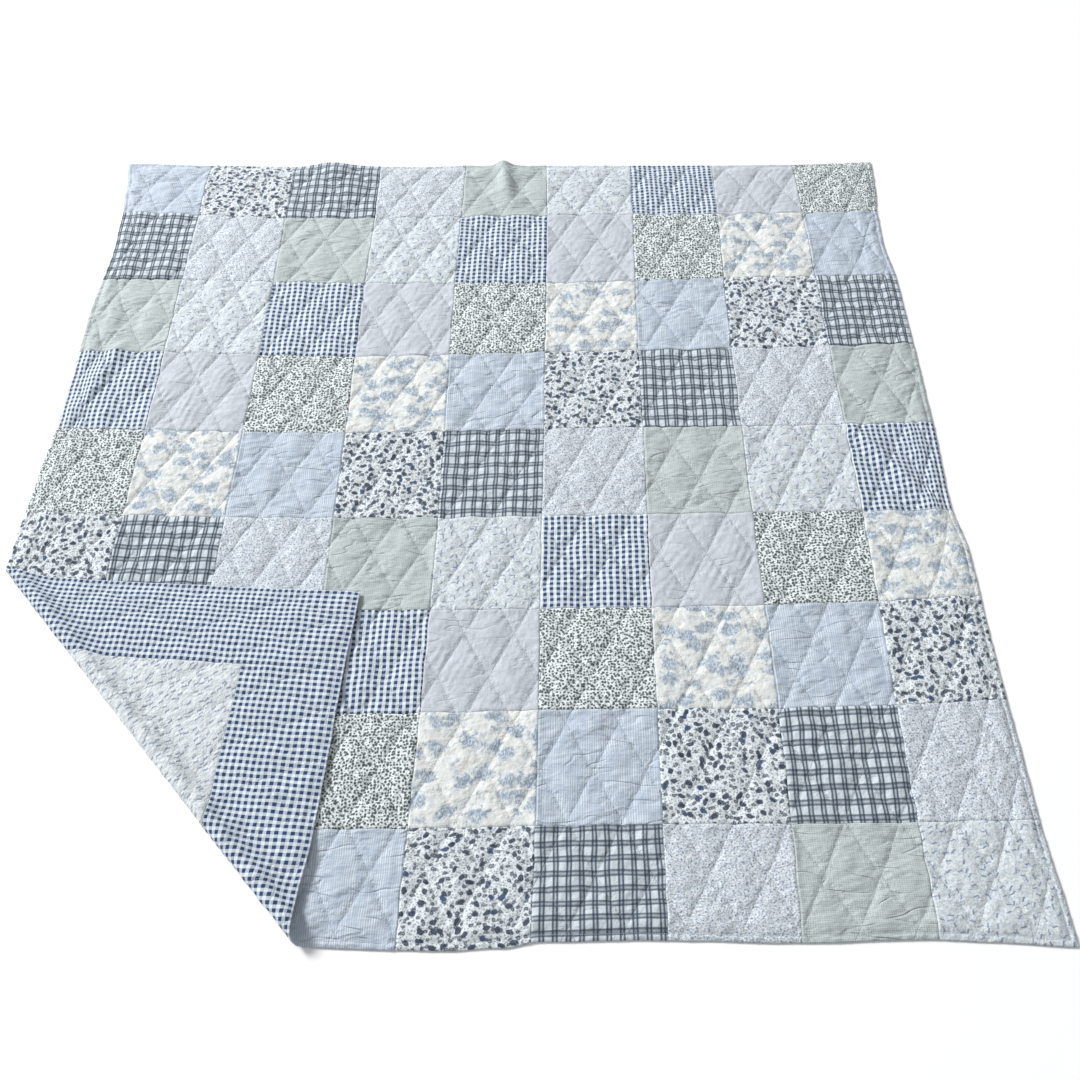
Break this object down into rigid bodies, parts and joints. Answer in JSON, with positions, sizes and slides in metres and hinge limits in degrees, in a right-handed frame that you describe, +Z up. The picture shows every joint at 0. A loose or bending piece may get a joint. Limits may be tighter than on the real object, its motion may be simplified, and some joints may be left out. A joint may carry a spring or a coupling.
{
  "type": "patchwork quilt",
  "caption": "Square patchwork quilt laid flat, quilted in diamonds, with one corner folded over to show its pieced backing.",
  "frame": {"origin": "on the floor, under the middle of the quilt's footprint", "axes": "+X along the rows of patches, +Y from the near hem (beside the folded corner) to the far hem, +Z up from the floor"},
  "size_m": [2.2, 2.209, 0.0365],
  "materials": {
    "patchwork_blue": "woven cotton, light blue with fine stripes",
    "patchwork_large_floral": "printed cotton, large navy flowers on white",
    "patchwork_plaid": "woven cotton, navy and charcoal plaid on white",
    "patchwork_fine_floral": "printed cotton, fine blue-grey sprigs on white",
    "patchwork_green": "woven cotton, sage green with a fine check",
    "patchwork_light_floral": "printed cotton, light blue flowers on white",
    "patchwork_gingham": "woven cotton, navy and white gingham",
    "patchwork_lilac": "plain woven cotton, lilac grey",
    "patchwork_dark_floral": "printed cotton, small dark flowers on off-white",
    "patchwork_scenic": "printed cotton, soft blue scenes on cream",
    "backing_print": "printed cotton, blue-grey leaves on off-white",
    "backing_check": "woven cotton, navy and white gingham"
  },
  "bodies": {
    "root": {"quilted_top": "patchwork_blue", "backing_panel": "backing_print", "backing_border_left": "backing_check", "backing_border_right": "backing_check", "backing_border_near": "backing_check", "backing_border_far": "backing_check"}
  },
  "joints": []
}
